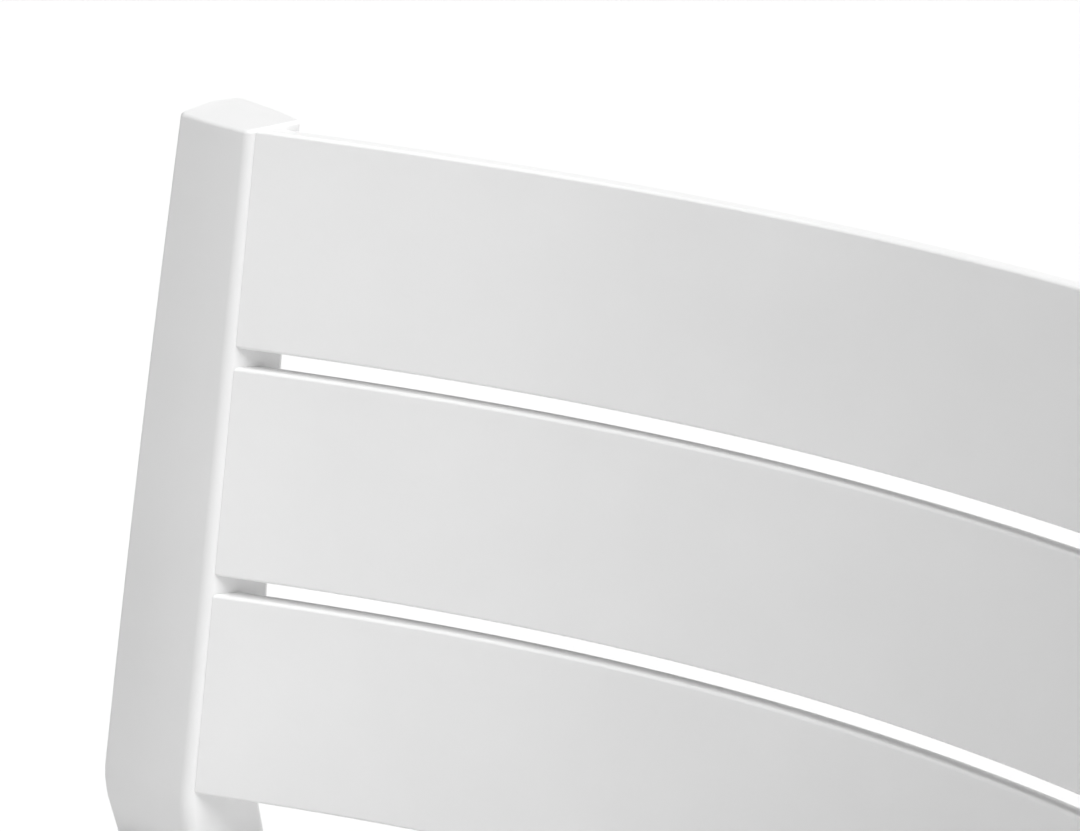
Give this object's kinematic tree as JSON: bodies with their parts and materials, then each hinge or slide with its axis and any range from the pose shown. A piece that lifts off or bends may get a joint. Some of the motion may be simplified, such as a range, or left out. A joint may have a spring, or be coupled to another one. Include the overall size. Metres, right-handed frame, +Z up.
{
  "type": "garden bench",
  "caption": "Two-seat garden bench with a bowed back of wide horizontal slats between tapered, bent rear legs, and a slatted seat on a coated metal frame.",
  "frame": {"origin": "on the ground under the centre of the bench's bounding box", "axes": "+X to the right as seen from the front, +Y to the back, +Z up; a person on the bench faces -Y"},
  "size_m": [1.0778, 0.6034, 0.905],
  "materials": {
    "white_coating": "satin white powder coating with a fine grain on aluminium",
    "stainless_screws": "plain stainless steel",
    "nylon_glides": "matt grey nylon"
  },
  "bodies": {
    "root": {"back_slat_bottom": "white_coating", "back_slat_middle": "white_coating", "back_slat_top": "white_coating", "front_glide_left": "nylon_glides", "front_glide_right": "nylon_glides", "front_leg_left": "white_coating", "front_leg_right": "white_coating", "front_rail": "white_coating", "rear_glide_left": "nylon_glides", "rear_glide_right": "nylon_glides", "rear_leg_left": "white_coating", "rear_leg_right": "white_coating", "rear_rail": "white_coating", "screw_centre_1": "stainless_screws", "screw_centre_2": "stainless_screws", "screw_centre_3": "stainless_screws", "screw_centre_4": "stainless_screws", "screw_inner_left_1": "stainless_screws", "screw_inner_left_2": "stainless_screws", "screw_inner_left_3": "stainless_screws", "screw_inner_left_4": "stainless_screws", "screw_inner_right_1": "stainless_screws", "screw_inner_right_2": "stainless_screws", "screw_inner_right_3": "stainless_screws", "screw_inner_right_4": "stainless_screws", "screw_left_1": "stainless_screws", "screw_left_2": "stainless_screws", "screw_left_3": "stainless_screws", "screw_left_4": "stainless_screws", "screw_right_1": "stainless_screws", "screw_right_2": "stainless_screws", "screw_right_3": "stainless_screws", "screw_right_4": "stainless_screws", "seat_bearer_centre": "white_coating", "seat_bearer_inner_left": "white_coating", "seat_bearer_inner_right": "white_coating", "seat_slat_1": "white_coating", "seat_slat_2": "white_coating", "seat_slat_3": "white_coating", "seat_slat_4": "white_coating", "side_rail_left": "white_coating", "side_rail_right": "white_coating"}
  },
  "joints": []
}
